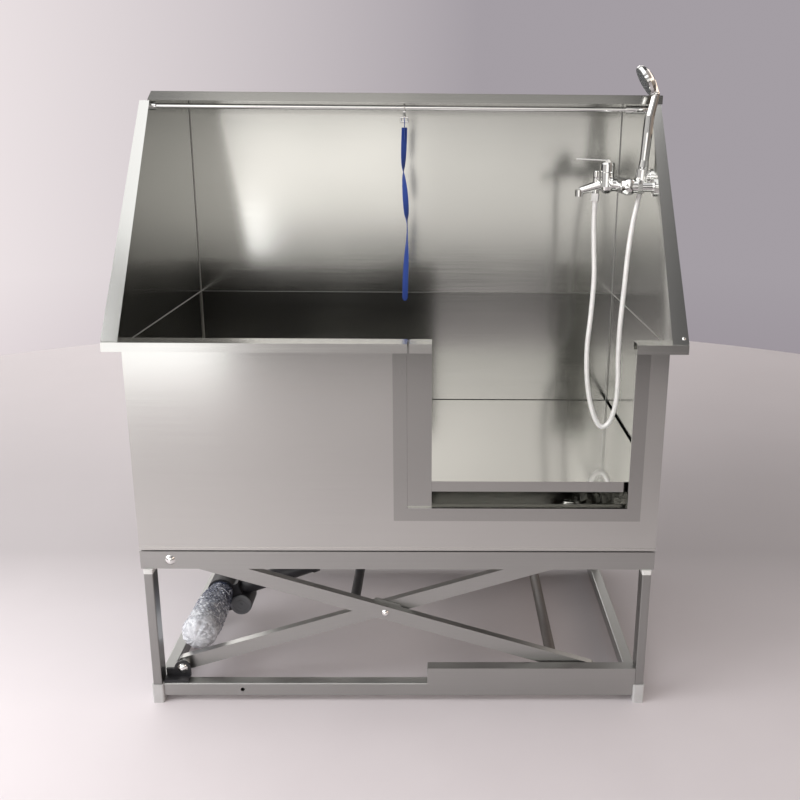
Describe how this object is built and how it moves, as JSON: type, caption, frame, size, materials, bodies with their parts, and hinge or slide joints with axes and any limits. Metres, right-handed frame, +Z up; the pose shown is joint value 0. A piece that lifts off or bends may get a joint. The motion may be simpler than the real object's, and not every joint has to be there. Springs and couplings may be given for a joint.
{
  "type": "dog grooming tub",
  "caption": "Walk-in dog grooming tub of sheet steel with a sliding door, splash walls, leash rail and hand shower, on a scissor lift driven by a linear actuator.",
  "frame": {"origin": "middle of the tub's outline, on the floor", "axes": "+X to the right along the tub, -Y out of the doorway at the front, +Z up"},
  "size_m": [1.3, 0.759, 1.5299],
  "materials": {
    "brushed_sheet": "brushed stainless sheet",
    "satin_frame": "satin stainless tube",
    "polished_rim": "polished stainless edge",
    "bright_chrome": "polished chrome",
    "black_paint": "satin black paint",
    "brown_paint": "satin dark paint",
    "pale_nylon": "moulded nylon",
    "grey_plastic": "moulded plastic",
    "dark_plastic": "moulded plastic",
    "clear_film": "clear bubble film",
    "blue_webbing": "woven nylon webbing",
    "hose_skin": "silver ribbed hose",
    "spray_rubber": "soft spray plate"
  },
  "bodies": {
    "base": {"base_rails": "satin_frame", "posts": "satin_frame", "rest_pads": "pale_nylon", "feet": "pale_nylon", "lower_tracks": "satin_frame", "lower_brackets": "black_paint", "lower_pins": "bright_chrome", "drive_bracket": "black_paint", "drive_tail_pin": "bright_chrome"},
    "inner_scissor": {"inner_arms": "satin_frame", "inner_tie": "black_paint", "centre_bolts": "bright_chrome", "upper_axles": "bright_chrome"},
    "outer_scissor": {"outer_arms": "satin_frame", "outer_tie": "brown_paint", "lift_tube": "black_paint", "lower_axles": "bright_chrome", "wear_plates": "satin_frame"},
    "lower_roller_pair": {"lower_rollers": "grey_plastic"},
    "upper_roller_pair": {"upper_rollers": "grey_plastic"},
    "tub": {"upper_ring": "satin_frame", "ring_ends": "satin_frame", "upper_bolts": "bright_chrome", "basin_floor": "brushed_sheet", "front_panel": "brushed_sheet", "back_panel": "brushed_sheet", "end_panels": "brushed_sheet", "front_rim": "polished_rim", "door_trim": "polished_rim", "door_guide": "brushed_sheet", "splash_back": "brushed_sheet", "splash_sides": "brushed_sheet", "top_shelf": "polished_rim", "leash_rod": "bright_chrome", "rod_sockets": "bright_chrome", "drain_body": "bright_chrome", "platform_ledges": "brushed_sheet", "wall_unions": "bright_chrome", "mixer_body": "bright_chrome", "mixer_spout": "bright_chrome", "handset_holder": "bright_chrome", "shower_hose": "hose_skin", "hose_nuts": "bright_chrome"},
    "drive_body": {"drive_housing": "dark_plastic", "drive_cover": "grey_plastic", "drive_motor": "dark_plastic", "motor_wrap": "clear_film"},
    "drive_plunger": {"drive_rod": "bright_chrome"},
    "door": {"sliding_door": "brushed_sheet", "door_cap": "polished_rim"},
    "lift_out_floor": {"platform": "brushed_sheet"},
    "drain_strainer": {"strainer": "bright_chrome"},
    "lever_hub": {"mixer_hub": "bright_chrome"},
    "lever": {"mixer_lever": "bright_chrome"},
    "diverter": {"diverter_knob": "bright_chrome"},
    "shower_handset": {"handset": "bright_chrome", "spray_face": "spray_rubber"},
    "leash_hook": {"snap_hook": "bright_chrome"},
    "snap_gate": {"hook_gate": "bright_chrome"},
    "leash": {"leash_strap": "blue_webbing"}
  },
  "joints": [
    {"name": "lift_lower_pivot", "type": "hinge", "parent": "base", "child": "inner_scissor", "pos_m": [-0.545, 0.0105, 0.0725], "axis": [0, -1, 0], "range_deg": [0, 23]},
    {"name": "lift_mid_pivot", "type": "hinge", "parent": "inner_scissor", "child": "outer_scissor", "pos_m": [-0.0348, 0.0105, 0.22848], "axis": [0, -1, 0], "range_deg": [-46, 0]},
    {"name": "lift_upper_pivot", "type": "hinge", "parent": "outer_scissor", "child": "tub", "pos_m": [-0.545, 0.0105, 0.38447], "axis": [0, -1, 0], "range_deg": [0, 23]},
    {"name": "drive_tail_pivot", "type": "hinge", "parent": "base", "child": "drive_body", "pos_m": [-0.56, 0.0105, 0.0885], "axis": [0, -1, 0], "range_deg": [0, 26.23]},
    {"name": "drive_stroke", "type": "slide", "parent": "drive_body", "child": "drive_plunger", "axis": [0.9397, 0, 0.3421], "range_m": [0, 0.04642]},
    {"name": "lower_roller_spin", "type": "hinge", "parent": "outer_scissor", "child": "lower_roller_pair", "pos_m": [0.4754, 0.0105, 0.0725], "axis": [0, 1, 0], "continuous": true},
    {"name": "upper_roller_spin", "type": "hinge", "parent": "inner_scissor", "child": "upper_roller_pair", "pos_m": [0.4754, 0.0105, 0.38447], "axis": [0, 1, 0], "continuous": true},
    {"name": "door_slide", "type": "slide", "parent": "tub", "child": "door", "axis": [1, 0, 0], "range_m": [0, 0.457]},
    {"name": "platform_lift", "type": "slide", "parent": "tub", "child": "lift_out_floor", "axis": [0, 0, 1], "range_m": [0, 0.04]},
    {"name": "strainer_lift", "type": "slide", "parent": "tub", "child": "drain_strainer", "axis": [0, 0, 1], "range_m": [0, 0.06]},
    {"name": "mixer_turn", "type": "hinge", "parent": "tub", "child": "lever_hub", "pos_m": [0.509, -0.0295, 1.27997], "axis": [0, 0, 1], "range_deg": [-45, 45]},
    {"name": "lever_tilt", "type": "hinge", "parent": "lever_hub", "child": "lever", "pos_m": [0.509, -0.0295, 1.30597], "axis": [0, 1, 0], "range_deg": [0, 20]},
    {"name": "diverter_pull", "type": "slide", "parent": "tub", "child": "diverter", "axis": [0, 0, 1], "range_m": [0, 0.012]},
    {"name": "handset_lift", "type": "slide", "parent": "tub", "child": "shower_handset", "axis": [0.0628, 0, 0.998], "range_m": [0, 0.045]},
    {"name": "hook_slide", "type": "slide", "parent": "tub", "child": "leash_hook", "axis": [1, 0, 0], "range_m": [-0.4, 0.4]},
    {"name": "gate_hinge", "type": "hinge", "parent": "leash_hook", "child": "snap_gate", "pos_m": [0.007, 0.00054, 1.42041], "axis": [-1, 0, 0], "range_deg": [0, 10], "stiffness_Nm_per_rad": 0.02},
    {"name": "strap_swing", "type": "hinge", "parent": "leash_hook", "child": "leash", "pos_m": [0.007, 0.0105, 1.39627], "axis": [1, 0, 0], "range_deg": [-25, 25]}
  ],
  "couplings": [
    {"joint": "lift_mid_pivot", "follows": "lift_lower_pivot", "ratio": -2},
    {"joint": "lift_upper_pivot", "follows": "lift_lower_pivot", "ratio": 1},
    {"joint": "drive_tail_pivot", "follows": "lift_lower_pivot", "ratio": 1.1403},
    {"joint": "drive_stroke", "follows": "lift_lower_pivot", "m_per_rad": 0.11561}
  ]
}
